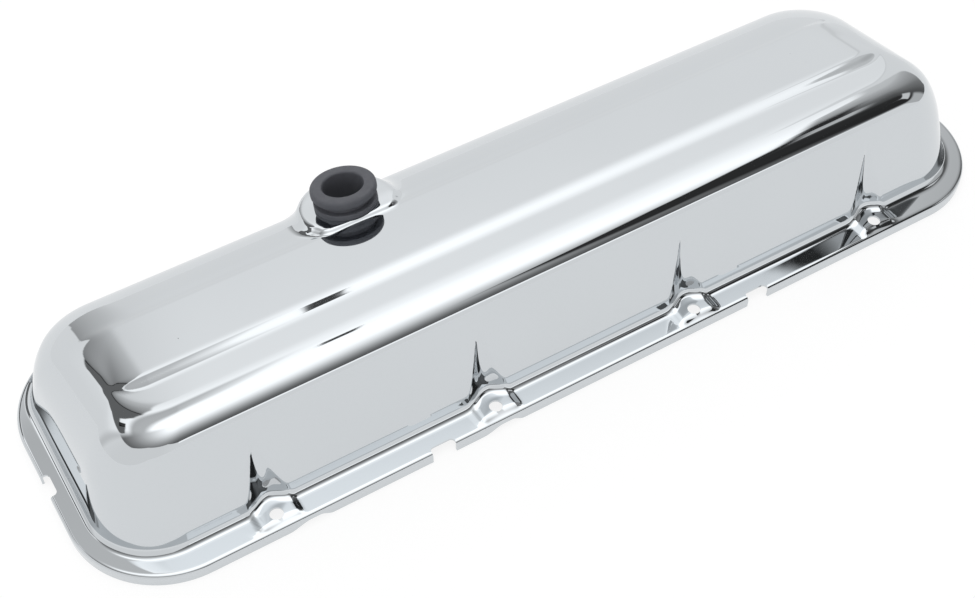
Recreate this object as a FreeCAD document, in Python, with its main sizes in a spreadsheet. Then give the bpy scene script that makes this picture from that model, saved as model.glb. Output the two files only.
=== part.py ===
"""Engine valve cover pressed from one sheet of steel and chromed, with its breather grommet.

Frame: X runs along the length, Y from the exhaust side (front) to the intake side (rear),
Z up. The origin is in the middle of the rail, level with the lower edge of the turned-down lip.
The shell is an outer form less an inner form. Both follow the same family of outlines, one
sheet thickness apart, so each wall, shoulder, boss and bolt pocket keeps the sheet's section.
"""
import FreeCAD, Part
import math
import os
import Sketcher
from FreeCAD import Placement, Rotation, Vector

doc = FreeCAD.newDocument("valve_cover_model")
sizes = doc.addObject("Spreadsheet::Sheet", "sizes")

SIZES = [
    ("sheet_thickness", 1.2, "pressed steel sheet"),
    ("rail_length", 545.2, "over the lip"),
    ("rail_width", 162.4, "over the lip"),
    ("rail_corner", 51.4, "corner radius over the lip"),
    ("lip_drop", 6.4, "top of the rail down to the lower edge of the lip"),
    ("bend_radius", 1.9, "outer bend between rail and lip"),
    ("foot_length", 523.4, "between the feet of the end walls"),
    ("foot_front", 66.4, "centre line to the foot of the front wall"),
    ("foot_rear", 74.0, "centre line to the foot of the rear wall"),
    ("foot_corner_front", 35.5, "plan radius of the front corners"),
    ("foot_corner_rear", 32.0, "plan radius of the rear corners"),
    ("corner_tightening", 0.35, "front corner radius lost per millimetre that the ends draw in"),
    ("foot_bend", 3.0, "hollow bend between rail and wall"),
    ("deck_height", 55.4, "rail to deck at the centre line"),
    ("deck_slope", 12.2, "degrees that the deck falls to the rear"),
    ("front_draft", 18.2, "degrees"),
    ("front_round_width", 19.5, "front shoulder, across"),
    ("front_round_height", 10.5, "front shoulder, down"),
    ("end_draft", 12.8, "degrees"),
    ("end_round_width", 21.5, "end shoulders, along"),
    ("end_round_height", 31.0, "end shoulders, down"),
    ("rear_draft", 1.0, "degrees"),
    ("rear_round_width", 41.0, "rear shoulder, across"),
    ("rear_round_height", 18.5, "rear shoulder, down"),
    ("panel_length", 448.0, "raised panel on the deck"),
    ("panel_front", 8.0, "centre line to the front edge of the panel"),
    ("panel_rear", 34.0, "centre line to the rear edge of the panel"),
    ("panel_corner", 9.0, "plan radius of the panel's corners"),
    ("panel_rise", 1.9, "panel above the deck at the centre line"),
    ("panel_fall", 2.6, "degrees that the panel falls more than the deck"),
    ("panel_skirt", 6.0, "depth of the panel's sloped sides"),
    ("panel_front_run", 18.0, "run of the front side over that depth"),
    ("panel_side_run", 5.0, "run of the other sides over that depth"),
    ("bolt_pitch", 122.936, "between neighbouring bolt holes"),
    ("bolt_line", 72.5, "centre line to each row of bolt holes"),
    ("bolt_shift", 1.4, "middle of the rail to the middle of each row of bolt holes, to the right"),
    ("bolt_hole", 7.0, "diameter"),
    ("pad_rise", 1.4, "seat of each bolt above the rail"),
    ("pad_length", 17.0, "flat of the seat, along the rail"),
    ("pad_ramp", 5.0, "slope at each end of the seat"),
    ("pad_margin", 1.6, "end of the rail's flat to the seat"),
    ("pocket_radius", 9.0, "front bolt pocket at the rail"),
    ("pocket_height", 37.0, "front bolt pocket, rail to tip"),
    ("pocket_set_in", 1.0, "bolt line to the axis of a front pocket"),
    ("pocket_lean", 24.5, "degrees that a front pocket leans with the wall"),
    ("pocket_tip", 0.6, "radius at the tip of a pocket"),
    ("rear_pocket_radius", 10.5, "rear bolt pocket at the rail"),
    ("rear_pocket_height", 33.0, "rear bolt pocket, rail to tip"),
    ("notch_width", 13.5, "gasket tab notch, along the rail"),
    ("notch_depth", 4.2, "gasket tab notch, from the lip's face in"),
    ("notch_left", 94.7, "middle of the cover to the left front notch"),
    ("notch_right", 99.5, "middle of the cover to the right front notch"),
    ("relief_height", 3.3, "depth of a relief in the lip's lower edge"),
    ("relief_flat", 6.5, "level stretch of a relief"),
    ("relief_left_ramp", 10.5, "slope at the left end of a relief"),
    ("relief_right_ramp", 5.8, "slope at the right end of a relief"),
    ("relief_first", 166.6, "middle of the cover to the first relief, to the left"),
    ("relief_second", 57.8, "middle of the cover to the second relief, to the left"),
    ("breather_along", 76.2, "middle of the cover to the breather hole, to the left"),
    ("breather_across", 51.9, "centre line to the breather hole, to the rear"),
    ("breather_hole", 28.0, "diameter in the sheet"),
    ("boss_rise", 2.8, "boss above the plane of the deck"),
    ("boss_radius", 21.5, "flat top of the boss"),
    ("boss_foot_radius", 34.0, "foot of the boss inside the walls"),
    ("boss_foot_across", 38.8, "centre line to the middle of the boss's foot"),
    ("boss_foot_height", 20.0, "rail to the foot of the boss"),
    ("grommet_bore", 22.0, "diameter"),
    ("grommet_outer", 35.2, "diameter of the upper ring"),
    ("grommet_upper_ring", 7.2, "height of the upper ring"),
    ("grommet_round", 2.1, "rounding of the upper ring"),
    ("grommet_groove", 2.6, "height of the groove between the rings"),
    ("grommet_waist", 30.4, "diameter in that groove"),
    ("grommet_lower_outer", 34.0, "diameter of the ring on the boss"),
    ("grommet_lower_ring", 4.0, "height of the ring on the boss"),
    ("grommet_clearance", 0.15, "rubber to the edge of the hole"),
    ("grommet_play", 0.03, "rubber to each face of the sheet"),
    ("grommet_inner_outer", 31.6, "diameter of the ring inside the cover"),
    ("grommet_inner_ring", 3.4, "height of the ring inside the cover"),
    ("baffle_sheet", 1.0, "steel of the oil baffle"),
    ("baffle_length", 96.0, "along the cover, over the weld feet"),
    ("baffle_foot", 11.0, "length of each weld foot"),
    ("baffle_drop", 13.0, "underside of the panel to the plate"),
    ("baffle_slant", 6.0, "run of each leg"),
    ("baffle_front", 3.0, "centre line to the front edge of the baffle"),
    ("baffle_width", 28.0, "weld feet, across the cover"),
    ("tongue_reach", 67.0, "centre line to the tip of the plate, to the rear"),
    ("tongue_width", 46.0, "tongue under the hole, along the cover"),
]

for row, (alias, value, note) in enumerate(SIZES, start=2):
    sizes.set("A%d" % row, note)
    sizes.set("B%d" % row, str(value))
    sizes.setAlias("B%d" % row, alias)
doc.recompute()

SHEET_WORDS = {alias for alias, _, _ in SIZES}


def in_sheet(formula):
    """The formula with each name of a size read from the sheet."""
    text = ""
    word = ""
    for letter in formula + " ":
        if letter.isalnum() or letter == "_":
            word += letter
            continue
        text += "sizes." + word if word in SHEET_WORDS else word
        text += letter
        word = ""
    return text.strip()


def bind(thing, path, formula):
    """Tie one property of a thing to a formula of the sheet's sizes."""
    thing.setExpression(path, in_sheet(formula))


def place(thing, x="0", y="0", z="0", lean="0"):
    """Bind a thing's position, and its lean in degrees about the X direction."""
    thing.Placement = Placement(Vector(), Rotation(Vector(1, 0, 0), 1))
    bind(thing, "Placement.Rotation.Angle", lean)
    bind(thing, "Placement.Base.x", x)
    bind(thing, "Placement.Base.y", y)
    bind(thing, "Placement.Base.z", z)


def new(kind, name, **formulas):
    """A document object with its sizes bound to formulas."""
    thing = doc.addObject(kind, name)
    for path, formula in formulas.items():
        bind(thing, path, formula)
    return thing


def fuse(name, parts):
    thing = doc.addObject("Part::MultiFuse", name)
    thing.Shapes = parts
    return thing


def cut(name, base, tool):
    thing = doc.addObject("Part::Cut", name)
    thing.Base = base
    thing.Tool = tool
    return thing


def loft(name, sections):
    """A solid through sketched sections, smooth from one to the next."""
    thing = doc.addObject("Part::Loft", name)
    thing.Sections = sections
    thing.Solid = True
    thing.Ruled = len(sections) == 2
    return thing


# How nearly two heights must agree for an edge to count as level, and a safe margin past a size
LEVEL_TOLERANCE = 1e-3
SIZE_MARGIN = 0.1

# Drawing points of a rounded oblong before its sizes are bound
DRAWN_HALF = 240.0
DRAWN_SIDE = 60.0
DRAWN_ROUND = 30.0


def add_sizes(sketch, sized):
    """Add constraints that carry a size and bind each to its formula."""
    for kind, args, drawn, formula in sized:
        number = sketch.addConstraint(Sketcher.Constraint(kind, *args, drawn))
        bind(sketch, "Constraints[%d]" % number, formula)


def oblong(name, half_length, front, rear, front_corner, rear_corner, middle="0", sketch=None):
    """A rounded oblong: four straight sides joined by tangent corner arcs.

    front and rear are distances from the X axis, and middle is its centre along X.
    """
    sketch = sketch or doc.addObject("Sketcher::SketchObject", name)
    far = DRAWN_HALF - DRAWN_ROUND
    side = DRAWN_SIDE - DRAWN_ROUND

    def line(x1, y1, x2, y2):
        return Part.LineSegment(Vector(x1, y1, 0), Vector(x2, y2, 0))

    def corner(x, y, start):
        circle = Part.Circle(Vector(x, y, 0), Vector(0, 0, 1), DRAWN_ROUND)
        return Part.ArcOfCircle(circle, math.radians(start), math.radians(start + 90))

    sketch.addGeometry([
        line(-far, -DRAWN_SIDE, far, -DRAWN_SIDE),
        corner(far, -side, -90),
        line(DRAWN_HALF, -side, DRAWN_HALF, side),
        corner(far, side, 0),
        line(far, DRAWN_SIDE, -far, DRAWN_SIDE),
        corner(-far, side, 90),
        line(-DRAWN_HALF, side, -DRAWN_HALF, -side),
        corner(-far, -side, 180),
    ], False)
    joints = [Sketcher.Constraint("Tangent", edge, 2, (edge + 1) % 8, 1) for edge in range(8)]
    straight = [
        Sketcher.Constraint("Horizontal", 0),
        Sketcher.Constraint("Horizontal", 4),
        Sketcher.Constraint("Vertical", 2),
        Sketcher.Constraint("Vertical", 6),
        Sketcher.Constraint("Equal", 1, 7),
        Sketcher.Constraint("Equal", 3, 5),
    ]
    sketch.addConstraint(joints + straight)
    add_sizes(sketch, [
        ("Radius", (1,), DRAWN_ROUND, front_corner),
        ("Radius", (3,), DRAWN_ROUND, rear_corner),
        ("DistanceX", (6, 1, -1, 1), DRAWN_HALF, "%s - (%s)" % (half_length, middle)),
        ("DistanceX", (-1, 1, 2, 1), DRAWN_HALF, "%s + (%s)" % (half_length, middle)),
        ("DistanceY", (0, 1, -1, 1), DRAWN_SIDE, front),
        ("DistanceY", (-1, 1, 4, 1), DRAWN_SIDE, rear),
    ])
    return sketch


def disc(name, radius, x="0", y="0", z="0", lean="0"):
    """A sketched circle on a plane that may lean about X."""
    sketch = doc.addObject("Sketcher::SketchObject", name)
    sketch.addGeometry(Part.Circle(Vector(), Vector(0, 0, 1), DRAWN_ROUND), False)
    sketch.addConstraint(Sketcher.Constraint("Coincident", 0, 3, -1, 1))
    add_sizes(sketch, [("Radius", (0,), DRAWN_ROUND, radius)])
    place(sketch, x, y, z, lean)
    return sketch


# Levels of the form: turn of the foot's hollow bend, then shares of the deck's height
FOOT_TURNS = (0, 30, 60, 90)
LEVEL_SHARES = (0.30, 0.44, 0.56, 0.67, 0.76, 0.84, 0.90, 0.945, 0.975, 0.99, 1.0)


def wall_inset(side, level, skin):
    """How far one side has drawn in at a level: its draft, then a quarter-ellipse shoulder."""
    across = "(%s_round_width - %s)" % (side, skin)
    down = "(%s_round_height - %s)" % (side, skin)
    climb = "max(0; (%s - (deck_height - %s_round_height)) / %s)" % (level, side, down)
    draft = "(%s) * tan(%s_draft)" % (level, side)
    return "(%s + %s * (1 - sqrt(abs(1 - (%s)^2))))" % (draft, across, climb)


def form_section(name, level, share, skin, flare):
    """One outline of the form. share tells how much of the deck's slope its plane has."""
    slope = "atan(tan(deck_slope) * %s)" % share
    end = wall_inset("end", level, skin)
    front = wall_inset("front", level, skin)
    rear = wall_inset("rear", level, skin)
    sketch = oblong(
        name,
        "(foot_length / 2 - %s - %s + %s)" % (skin, end, flare),
        "(foot_front - %s - %s + %s) / cos(%s)" % (skin, front, flare, slope),
        "(foot_rear - %s - %s + %s) / cos(%s)" % (skin, rear, flare, slope),
        "foot_corner_front - %s + %s - corner_tightening * %s" % (skin, flare, end),
        "foot_corner_rear - %s + %s" % (skin, flare),
    )
    place(sketch, z="lip_drop + %s" % level, lean="-%s" % slope)
    return sketch


def pressed_form(name, skin):
    """The box of the cover from rail to deck, set in by skin all round."""
    sections = []
    bend = "(foot_bend + %s)" % skin
    for turn in FOOT_TURNS:
        level = "(%s * (1 - cos(%d)) - %s)" % (bend, turn, skin)
        flare = "(%s * (1 - sin(%d)))" % (bend, turn)
        share = "(max(0; %s) / deck_height)" % level
        sections.append(form_section("%s_foot_%d" % (name, turn), level, share, skin, flare))
    for number, part in enumerate(LEVEL_SHARES):
        level = "((deck_height - %s) * %g)" % (skin, part)
        sections.append(form_section("%s_level_%d" % (name, number), level, "%g" % part, skin, "0"))
    return loft(name, sections)


def raised_panel(name, skin):
    """The low panel along the deck, with a long slope at its front and short ones elsewhere."""
    slope = "(deck_slope + panel_fall)"
    top = oblong(
        name + "_top",
        "panel_length / 2",
        "panel_front / cos(%s)" % slope,
        "panel_rear / cos(%s)" % slope,
        "panel_corner",
        "panel_corner",
    )
    foot = oblong(
        name + "_foot",
        "panel_length / 2 + panel_side_run",
        "(panel_front + panel_front_run) / cos(%s)" % slope,
        "(panel_rear + panel_side_run) / cos(%s)" % slope,
        "panel_corner + panel_side_run",
        "panel_corner + panel_side_run",
    )
    height = "lip_drop + deck_height + panel_rise - %s" % skin
    place(top, z=height, lean="-" + slope)
    place(foot, z=height + " - panel_skirt", lean="-" + slope)
    return loft(name, [foot, top])


BOSS_TOP = "(lip_drop + deck_height - breather_across * tan(deck_slope) + boss_rise)"
# Share of the skin by which the boss's flat top is narrower inside, where flank and top meet
BOSS_TOP_SKIN = 0.6


def breather_boss(name, skin):
    """The flat seat round the breather hole: level with the deck, standing on the rear shoulder."""
    foot = disc(
        name + "_foot",
        "boss_foot_radius - %s" % skin,
        x="-breather_along",
        y="boss_foot_across",
        z="lip_drop + boss_foot_height",
    )
    top = disc(
        name + "_top",
        "boss_radius - %s * %g" % (skin, BOSS_TOP_SKIN),
        x="-breather_along",
        y="breather_across",
        z="%s - %s" % (BOSS_TOP, skin),
        lean="-deck_slope",
    )
    return loft(name, [foot, top])


def rail_form(name, skin, depth_below):
    """The rail and its turned-down lip as one block with a rounded upper edge."""
    body = doc.addObject("PartDesign::Body", name)
    sketch = body.newObject("Sketcher::SketchObject", name + "_outline")
    base_plane = [plane for plane in body.Origin.OriginFeatures if plane.Role == "XY_Plane"][0]
    sketch.AttachmentSupport = [(base_plane, "")]
    sketch.MapMode = "FlatFace"
    oblong(
        name + "_outline",
        "rail_length / 2 - %s" % skin,
        "rail_width / 2 - %s" % skin,
        "rail_width / 2 - %s" % skin,
        "rail_corner - %s" % skin,
        "rail_corner - %s" % skin,
        sketch=sketch,
    )
    pad = body.newObject("PartDesign::Pad", name + "_block")
    pad.Profile = sketch
    bind(pad, "Length", "lip_drop - %s + %s" % (skin, depth_below))
    doc.recompute()
    top_height = pad.Shape.BoundBox.ZMax
    rim = [
        "Edge%d" % (number + 1)
        for number, edge in enumerate(pad.Shape.Edges)
        if edge.BoundBox.ZMin > top_height - LEVEL_TOLERANCE
    ]
    bend = body.newObject("PartDesign::Fillet", name + "_bend")
    bend.Base = (pad, rim)
    bind(bend, "Radius", "bend_radius - %s" % skin)
    bind(body, "Placement.Base.z", "0 - %s" % depth_below)
    return body


FRONT_BOLTS = (-1.5, -0.5, 0.5, 1.5)
REAR_BOLTS = (-1, 0, 1)
BOLT_ALONG = "bolt_shift + bolt_pitch * %g"


def bolt_seat(name, along, rear, skin):
    """The raised seat under one bolt head, ramped at both ends and run in under the wall."""
    outer_edge = "rail_width / 2 - bend_radius"
    inner_edge = "(bolt_line - rear_pocket_radius - sheet_thickness)"
    seat = new(
        "Part::Wedge",
        name,
        Xmin="0 - pad_length / 2 - pad_ramp",
        Xmax="pad_length / 2 + pad_ramp",
        X2min="0 - pad_length / 2",
        X2max="pad_length / 2",
        Ymin="0",
        Ymax="pad_rise",
        Zmin=inner_edge,
        Zmax=outer_edge,
        Z2min=inner_edge,
        Z2max=outer_edge + " - pad_margin",
    )
    upright = Rotation(Vector(1, 0, 0), 90)
    half_turn = Rotation(Vector(0, 0, 1), 180 if rear else 0)
    seat.Placement = Placement(Vector(), half_turn.multiply(upright))
    bind(seat, "Placement.Base.x", BOLT_ALONG % along)
    bind(seat, "Placement.Base.z", "lip_drop - %s" % skin)
    return seat


def bolt_pocket(name, along, rear, skin):
    """The tapered hollow that makes room for one bolt head and its spanner."""
    pocket = doc.addObject("Part::Cone", name)
    bind(pocket, "Radius2", "pocket_tip + %s" % skin)
    if rear:
        bind(pocket, "Radius1", "rear_pocket_radius + %s" % skin)
        bind(pocket, "Height", "rear_pocket_height")
        place(pocket, x=BOLT_ALONG % along, y="bolt_line", z="lip_drop - %s" % skin)
        return pocket
    bind(pocket, "Radius1", "pocket_radius + %s" % skin)
    bind(pocket, "Height", "pocket_height / cos(pocket_lean)")
    place(
        pocket,
        x=BOLT_ALONG % along,
        y="pocket_set_in - bolt_line",
        z="lip_drop - %s" % skin,
        lean="-pocket_lean",
    )
    return pocket


def bolt_places():
    """Each bolt's name, its place in pitches from the middle, and whether it is at the rear."""
    for number, along in enumerate(FRONT_BOLTS):
        yield "front_%d" % (number + 1), along, False
    for number, along in enumerate(REAR_BOLTS):
        yield "rear_%d" % (number + 1), along, True


def whole_form(name, skin, depth_below):
    """Everything that one face of the sheet encloses, from the lip's lower edge to the deck."""
    raised = fuse(name + "_raised", [
        pressed_form(name + "_box", skin),
        raised_panel(name + "_panel", skin),
        breather_boss(name + "_boss", skin),
    ])
    pockets = []
    seats = []
    for bolt, along, rear in bolt_places():
        pockets.append(bolt_pocket("%s_pocket_%s" % (name, bolt), along, rear, skin))
        seats.append(bolt_seat("%s_seat_%s" % (name, bolt), along, rear, skin))
    dented = cut(name + "_dented", raised, fuse(name + "_pockets", pockets))
    rail = rail_form(name + "_rail", skin, depth_below)
    return fuse(name, [dented, rail] + seats)


def bolt_holes():
    holes = []
    for bolt, along, rear in bolt_places():
        hole = new("Part::Cylinder", "hole_" + bolt, Radius="bolt_hole / 2", Height="lip_drop * 2")
        side = "bolt_line" if rear else "0 - bolt_line"
        place(hole, x=BOLT_ALONG % along, y=side)
        holes.append(hole)
    return holes


def lip_notches():
    """Notches for the gasket's tabs: two in the front of the lip, one in the left end."""
    left = new("Part::Box", "notch_front_left", Length="notch_width", Width="notch_depth * 2")
    place(left, x="0 - notch_left - notch_width / 2", y="0 - rail_width / 2 - notch_depth")
    right = new("Part::Box", "notch_front_right", Length="notch_width", Width="notch_depth * 2")
    place(right, x="notch_right - notch_width / 2", y="0 - rail_width / 2 - notch_depth")
    end = new("Part::Box", "notch_end", Length="notch_depth * 2", Width="notch_width")
    place(end, x="0 - rail_length / 2 - notch_depth", y="0 - notch_width / 2")
    for notch in (left, right, end):
        bind(notch, "Height", "lip_drop * 2")
        bind(notch, "Placement.Base.z", "0 - lip_drop / 2")
    return [left, right, end]


def lip_reliefs():
    """Two shallow reliefs in the front of the lip's lower edge, sloped at both ends."""
    reliefs = []
    for name, along in (("relief_a", "relief_first"), ("relief_b", "relief_second")):
        relief = new(
            "Part::Wedge",
            name,
            Xmin="0 - relief_flat / 2 - 2 * relief_left_ramp",
            Xmax="relief_flat / 2 + 2 * relief_right_ramp",
            X2min="0 - relief_flat / 2",
            X2max="relief_flat / 2",
            Ymin="0 - relief_height",
            Ymax="relief_height",
            Zmin="rail_width / 2 - 2 * sheet_thickness",
            Zmax="rail_width / 2 + sheet_thickness",
            Z2min="rail_width / 2 - 2 * sheet_thickness",
            Z2max="rail_width / 2 + sheet_thickness",
        )
        relief.Placement = Placement(Vector(), Rotation(Vector(1, 0, 0), 90))
        bind(relief, "Placement.Base.x", "0 - " + along)
        reliefs.append(relief)
    return reliefs


def breather_opening():
    """The round hole through the boss, square to it."""
    reach = "(4 * sheet_thickness)"
    hole = new("Part::Cylinder", "breather_opening", Radius="breather_hole / 2")
    bind(hole, "Height", "2 * " + reach)
    place(
        hole,
        x="0 - breather_along",
        y="breather_across - %s * sin(deck_slope)" % reach,
        z="%s - %s * cos(deck_slope)" % (BOSS_TOP, reach),
        lean="-deck_slope",
    )
    return hole


def make_cover():
    """The pressed shell: outer form less inner form, then pierced."""
    outside = whole_form("outside", "0", "0")
    inside = whole_form("inside", "sheet_thickness", "sheet_thickness")
    shell = cut("shell", outside, inside)
    pierced = fuse("pierced", bolt_holes() + lip_notches() + lip_reliefs() + [breather_opening()])
    cover = cut("valve_cover", shell, pierced)
    cover.Label = "valve_cover"
    return cover


def make_grommet():
    """The rubber breather grommet, turned about its own axis and set square to the boss."""
    body = doc.addObject("PartDesign::Body", "breather_grommet")
    sketch = body.newObject("Sketcher::SketchObject", "grommet_profile")
    side_plane = [plane for plane in body.Origin.OriginFeatures if plane.Role == "XZ_Plane"][0]
    sketch.AttachmentSupport = [(side_plane, "")]
    sketch.MapMode = "FlatFace"
    under = "(sheet_thickness + grommet_play)"
    bore = "grommet_bore / 2"
    neck = "(breather_hole / 2 - grommet_clearance)"
    inner = "grommet_inner_outer / 2"
    lower = "grommet_lower_outer / 2"
    waist = "grommet_waist / 2"
    outer = "grommet_outer / 2"
    seat = "grommet_play"
    groove_foot = "(grommet_play + grommet_lower_ring)"
    ring_foot = "(%s + grommet_groove)" % groove_foot
    ring_top = "(%s + grommet_upper_ring)" % ring_foot
    stations = [
        (bore, "0 - %s - grommet_inner_ring" % under),
        ("%s - grommet_inner_ring / 2" % inner, "0 - %s - grommet_inner_ring" % under),
        (inner, "0 - %s" % under),
        (neck, "0 - %s" % under),
        (neck, seat),
        (lower, seat),
        (lower, groove_foot),
        (waist, groove_foot),
        (waist, ring_foot),
        (outer, ring_foot),
        (outer, ring_top),
        (bore, ring_top),
    ]
    drawn = [
        (11, -5), (14, -5), (16, -1), (14, -1), (14, 0), (17, 0),
        (17, 4), (15, 4), (15, 7), (18, 7), (18, 14), (11, 14),
    ]
    count = len(stations)
    for number in range(count):
        start = Vector(*drawn[number], 0)
        end = Vector(*drawn[(number + 1) % count], 0)
        sketch.addGeometry(Part.LineSegment(start, end), False)
    joints = [Sketcher.Constraint("Coincident", n, 2, (n + 1) % count, 1) for n in range(count)]
    sketch.addConstraint(joints)
    for number, (radius, height) in enumerate(stations):
        x, y = drawn[number]
        add_sizes(sketch, [("DistanceX", (-1, 1, number, 1), x, radius)])
        below = height.startswith("0 - ")
        if below:
            add_sizes(sketch, [("DistanceY", (number, 1, -1, 1), -y, height[4:].replace(" - ", " + "))])
        else:
            add_sizes(sketch, [("DistanceY", (-1, 1, number, 1), y, height)])
    turned = body.newObject("PartDesign::Revolution", "grommet_turned")
    turned.Profile = sketch
    turned.ReferenceAxis = (sketch, ["V_Axis"])
    turned.Angle = 360
    doc.recompute()
    top = turned.Shape.BoundBox.ZMax
    bottom_of_ring = top - float(sizes.grommet_upper_ring)
    rims = []
    for number, edge in enumerate(turned.Shape.Edges):
        box = edge.BoundBox
        flat = box.ZMax - box.ZMin < LEVEL_TOLERANCE
        on_ring = box.ZMin > bottom_of_ring - LEVEL_TOLERANCE
        wide = box.XMax > float(sizes.grommet_waist) / 2 + SIZE_MARGIN
        at_top = box.ZMin > top - LEVEL_TOLERANCE
        if flat and on_ring and (wide or at_top):
            rims.append("Edge%d" % (number + 1))
    rounded = body.newObject("PartDesign::Fillet", "grommet_rounded")
    rounded.Base = (turned, rims)
    bind(rounded, "Radius", "grommet_round")
    place(
        body,
        x="0 - breather_along",
        y="breather_across",
        z=BOSS_TOP,
        lean="-deck_slope",
    )
    body.Label = "breather_grommet"
    return body


def make_baffle():
    """The oil baffle: a hat-shaped plate hung from the panel, with a tongue under the hole."""
    slope = "(deck_slope + panel_fall)"
    body = doc.addObject("PartDesign::Body", "oil_baffle")
    sketch = body.newObject("Sketcher::SketchObject", "baffle_section")
    side_plane = [plane for plane in body.Origin.OriginFeatures if plane.Role == "XZ_Plane"][0]
    sketch.AttachmentSupport = [(side_plane, "")]
    sketch.MapMode = "FlatFace"
    half = "baffle_length / 2"
    knee = "(baffle_length / 2 - baffle_foot)"
    ankle = "(%s - baffle_slant)" % knee
    lean = "(baffle_slant / (baffle_drop - baffle_sheet))"
    lean_shift = "(baffle_sheet * (sqrt(1 + %s^2) - %s))" % (lean, lean)
    stations = [
        ("-1", half, "0"),
        ("-1", "%s - %s" % (knee, lean_shift), "0"),
        ("-1", "%s - %s" % (ankle, lean_shift), "baffle_drop - baffle_sheet"),
        ("1", "%s - %s" % (ankle, lean_shift), "baffle_drop - baffle_sheet"),
        ("1", "%s - %s" % (knee, lean_shift), "0"),
        ("1", half, "0"),
        ("1", half, "baffle_sheet"),
        ("1", knee, "baffle_sheet"),
        ("1", ankle, "baffle_drop"),
        ("-1", ankle, "baffle_drop"),
        ("-1", knee, "baffle_sheet"),
        ("-1", half, "baffle_sheet"),
    ]
    drawn = [
        (-48, 0), (-36, 0), (-30, -12), (30, -12), (36, 0), (48, 0),
        (48, -1), (37, -1), (31, -13), (-31, -13), (-37, -1), (-48, -1),
    ]
    count = len(stations)
    for number in range(count):
        start = Vector(*drawn[number], 0)
        end = Vector(*drawn[(number + 1) % count], 0)
        sketch.addGeometry(Part.LineSegment(start, end), False)
    joints = [Sketcher.Constraint("Coincident", n, 2, (n + 1) % count, 1) for n in range(count)]
    sketch.addConstraint(joints)
    for number, (hand, reach, drop) in enumerate(stations):
        x, y = drawn[number]
        ends = (-1, 1, number, 1) if hand == "1" else (number, 1, -1, 1)
        add_sizes(sketch, [("DistanceX", ends, abs(x), reach)])
        if drop == "0":
            sketch.addConstraint(Sketcher.Constraint("PointOnObject", number, 1, -1))
        else:
            add_sizes(sketch, [("DistanceY", (number, 1, -1, 1), abs(y), drop)])
    hat = body.newObject("PartDesign::Pad", "baffle_hat")
    hat.Profile = sketch
    hat.Reversed = True
    bind(hat, "Length", "baffle_width / cos(%s)" % slope)
    tongue = body.newObject("PartDesign::AdditiveBox", "baffle_tongue")
    bind(tongue, "Length", "tongue_width")
    bind(tongue, "Width", "(tongue_reach - baffle_front) / cos(%s)" % slope)
    bind(tongue, "Height", "baffle_sheet")
    bind(tongue, "Placement.Base.x", "0 - tongue_width / 2")
    bind(tongue, "Placement.Base.z", "0 - baffle_drop")
    place(
        body,
        x="0 - breather_along",
        y="baffle_front",
        z="lip_drop + deck_height + panel_rise - sheet_thickness - baffle_front * tan(%s)" % slope,
        lean="-" + slope,
    )
    body.Label = "oil_baffle"
    return body


def check(parts):
    """Stop before anything is written if an object failed or a piece is no sound solid."""
    doc.recompute()
    for thing in doc.Objects:
        if "Invalid" in thing.State or "Error" in thing.State:
            raise RuntimeError("%s failed: %s" % (thing.Name, thing.State))
    for part in parts:
        shape = part.Shape
        if shape.isNull() or not shape.isValid() or len(shape.Solids) != 1:
            raise RuntimeError("%s is not one sound solid" % part.Label)


parts = [make_cover(), make_grommet(), make_baffle()]
check(parts)
os.makedirs("parts", exist_ok=True)
for part in parts:
    part.Shape.exportStep("parts/%s.step" % part.Label)
    box = part.Shape.BoundBox
    print(part.Label, "volume %.0f" % part.Shape.Volume, "box", box)
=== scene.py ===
"""Looks of a chromed sheet-steel engine valve cover with its rubber breather grommet.

The form's functions work in millimetres in the part's own frame: X along the cover, Y to the
intake side, Z up, heights from the lip's lower edge. Meshes are in metres.
"""
import math

import bpy
import numpy as np
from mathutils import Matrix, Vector


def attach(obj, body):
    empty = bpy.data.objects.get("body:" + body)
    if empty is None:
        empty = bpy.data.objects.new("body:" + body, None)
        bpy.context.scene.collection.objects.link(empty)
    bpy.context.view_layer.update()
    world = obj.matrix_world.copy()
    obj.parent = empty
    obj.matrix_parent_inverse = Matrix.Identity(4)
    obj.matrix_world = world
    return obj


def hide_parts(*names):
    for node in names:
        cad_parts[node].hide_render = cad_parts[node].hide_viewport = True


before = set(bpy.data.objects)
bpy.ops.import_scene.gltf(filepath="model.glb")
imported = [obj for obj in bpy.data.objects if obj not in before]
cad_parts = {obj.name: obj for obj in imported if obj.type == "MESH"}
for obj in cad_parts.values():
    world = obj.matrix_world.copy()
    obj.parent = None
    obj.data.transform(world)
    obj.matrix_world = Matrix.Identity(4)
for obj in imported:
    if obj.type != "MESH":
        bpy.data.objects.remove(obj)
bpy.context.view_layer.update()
MM = 0.001
TINY = 1e-6
VANISHING = 1e-12
QUARTER = math.pi / 2

# Pressed sheet
SHEET = 1.2
RAIL_LENGTH = 545.2
RAIL_WIDTH = 162.4
RAIL_CORNER = 51.4
LIP_DROP = 6.4
LIP_BEND = 1.9

# Box of the cover, from the feet of its walls to the deck
FOOT_LENGTH = 523.4
FOOT_FRONT = 66.4
FOOT_REAR = 74.0
CORNER_FRONT = 35.5
CORNER_REAR = 32.0
CORNER_TIGHTENING = 0.35
FOOT_BEND = 3.0
DECK_HEIGHT = 55.4
DECK_FALL = math.tan(math.radians(12.2))

# Sides of the box: the wall's slope, then the width and the height of its shoulder
FRONT_SIDE = (math.tan(math.radians(18.2)), 19.5, 10.5)
END_SIDE = (math.tan(math.radians(12.8)), 21.5, 31.0)
REAR_SIDE = (math.tan(math.radians(1.0)), 41.0, 18.5)

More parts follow.
